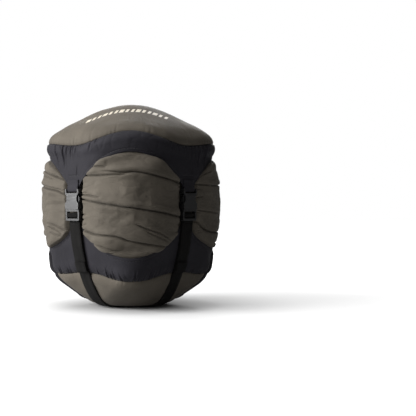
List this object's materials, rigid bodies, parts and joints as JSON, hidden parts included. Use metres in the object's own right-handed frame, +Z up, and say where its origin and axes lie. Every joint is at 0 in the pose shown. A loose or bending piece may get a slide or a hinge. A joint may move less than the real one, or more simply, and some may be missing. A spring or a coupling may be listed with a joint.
{
  "type": "compression sack",
  "caption": "Tightly packed compression sack standing upright, with a domed lid cap and a base cap drawn together by side straps with release buckles.",
  "frame": {"origin": "middle of the base, at the level of the surface the sack stands on", "axes": "+Z up, towards the lid; -Y is the front, between two straps; the straps are at 45 degrees to X and Y"},
  "size_m": [0.231, 0.231, 0.26],
  "materials": {
    "olive_nylon": "matt woven nylon, grey olive",
    "navy_nylon": "matt woven nylon, dark slate navy",
    "webbing": "flat ribbed polypropylene webbing, charcoal",
    "buckle_plastic": "satin moulded plastic, near black",
    "cord": "braided cord, black",
    "filling": "quilted shell, slate grey",
    "spring_steel": "bare spring wire"
  },
  "bodies": {
    "base": {"packed_sleeping_bag": "filling", "sack_body": "olive_nylon", "base_panel": "olive_nylon", "base_band": "navy_nylon", "webbing_strap_lower": "webbing", "webbing_strap_upper": "webbing"},
    "sack_top": {"gathered_mouth": "olive_nylon", "drawcord": "cord", "cord_lock_barrel": "buckle_plastic", "cord_lock_spring": "spring_steel", "buckle_adjuster_front_left": "buckle_plastic", "buckle_adjuster_front_right": "buckle_plastic", "buckle_adjuster_back_right": "buckle_plastic", "buckle_adjuster_back_left": "buckle_plastic", "webbing_tail_front_left": "webbing", "webbing_tail_front_right": "webbing", "webbing_tail_back_right": "webbing", "webbing_tail_back_left": "webbing"},
    "lid": {"lid_panel": "olive_nylon", "lid_band": "navy_nylon", "buckle_socket_front_left": "buckle_plastic", "buckle_socket_front_right": "buckle_plastic", "buckle_socket_back_right": "buckle_plastic", "buckle_socket_back_left": "buckle_plastic", "lid_loop_front_left": "webbing", "lid_loop_front_right": "webbing", "lid_loop_back_right": "webbing", "lid_loop_back_left": "webbing"},
    "cord_lock_plunger": {"cord_lock_plunger": "buckle_plastic"},
    "prong_left_front_left": {"prong_left_front_left": "buckle_plastic"},
    "prong_right_front_left": {"prong_right_front_left": "buckle_plastic"},
    "prong_left_front_right": {"prong_left_front_right": "buckle_plastic"},
    "prong_right_front_right": {"prong_right_front_right": "buckle_plastic"},
    "prong_left_back_right": {"prong_left_back_right": "buckle_plastic"},
    "prong_right_back_right": {"prong_right_back_right": "buckle_plastic"},
    "prong_left_back_left": {"prong_left_back_left": "buckle_plastic"},
    "prong_right_back_left": {"prong_right_back_left": "buckle_plastic"}
  },
  "joints": [
    {"name": "expand", "type": "slide", "parent": "base", "child": "sack_top", "axis": [0, 0, 1], "range_m": [0, 0.055], "deforming": ["sack_body", "webbing_strap_lower", "webbing_strap_upper", "webbing_tail_front_left", "webbing_tail_front_right", "webbing_tail_back_right", "webbing_tail_back_left"]},
    {"name": "lid_lift_off", "type": "slide", "parent": "sack_top", "child": "lid", "axis": [0, 0, 1], "range_m": [0, 0.13], "deforming": ["prong_left_front_left", "prong_right_front_left", "prong_left_front_right", "prong_right_front_right", "prong_left_back_right", "prong_right_back_right", "prong_left_back_left", "prong_right_back_left"]},
    {"name": "press_left_front_left", "type": "hinge", "parent": "sack_top", "child": "prong_left_front_left", "pos_m": [-0.07644, -0.06385, 0.1251], "axis": [0.7071, 0.7071, 0], "range_deg": [0, 9.5], "stiffness_Nm_per_rad": 0.1},
    {"name": "press_right_front_left", "type": "hinge", "parent": "sack_top", "child": "prong_right_front_left", "pos_m": [-0.06385, -0.07644, 0.1251], "axis": [-0.7071, -0.7071, 0], "range_deg": [0, 9.5], "stiffness_Nm_per_rad": 0.1},
    {"name": "press_left_front_right", "type": "hinge", "parent": "sack_top", "child": "prong_left_front_right", "pos_m": [0.06385, -0.07644, 0.1251], "axis": [-0.7071, 0.7071, 0], "range_deg": [0, 9.5], "stiffness_Nm_per_rad": 0.1},
    {"name": "press_right_front_right", "type": "hinge", "parent": "sack_top", "child": "prong_right_front_right", "pos_m": [0.07644, -0.06385, 0.1251], "axis": [0.7071, -0.7071, 0], "range_deg": [0, 9.5], "stiffness_Nm_per_rad": 0.1},
    {"name": "press_left_back_right", "type": "hinge", "parent": "sack_top", "child": "prong_left_back_right", "pos_m": [0.07644, 0.06385, 0.1251], "axis": [-0.7071, -0.7071, 0], "range_deg": [0, 9.5], "stiffness_Nm_per_rad": 0.1},
    {"name": "press_right_back_right", "type": "hinge", "parent": "sack_top", "child": "prong_right_back_right", "pos_m": [0.06385, 0.07644, 0.1251], "axis": [0.7071, 0.7071, 0], "range_deg": [0, 9.5], "stiffness_Nm_per_rad": 0.1},
    {"name": "press_left_back_left", "type": "hinge", "parent": "sack_top", "child": "prong_left_back_left", "pos_m": [-0.06385, 0.07644, 0.1251], "axis": [0.7071, -0.7071, 0], "range_deg": [0, 9.5], "stiffness_Nm_per_rad": 0.1},
    {"name": "press_right_back_left", "type": "hinge", "parent": "sack_top", "child": "prong_right_back_left", "pos_m": [-0.07644, 0.06385, 0.1251], "axis": [-0.7071, 0.7071, 0], "range_deg": [0, 9.5], "stiffness_Nm_per_rad": 0.1},
    {"name": "cord_lock_press", "type": "slide", "parent": "sack_top", "child": "cord_lock_plunger", "axis": [-1, 0, 0], "range_m": [0, 0.002], "stiffness_N_per_m": 600, "deforming": ["cord_lock_spring"]}
  ],
  "couplings": [
    {"joint": "press_right_front_left", "follows": "press_left_front_left", "ratio": 1},
    {"joint": "press_right_front_right", "follows": "press_left_front_right", "ratio": 1},
    {"joint": "press_right_back_right", "follows": "press_left_back_right", "ratio": 1},
    {"joint": "press_right_back_left", "follows": "press_left_back_left", "ratio": 1}
  ]
}
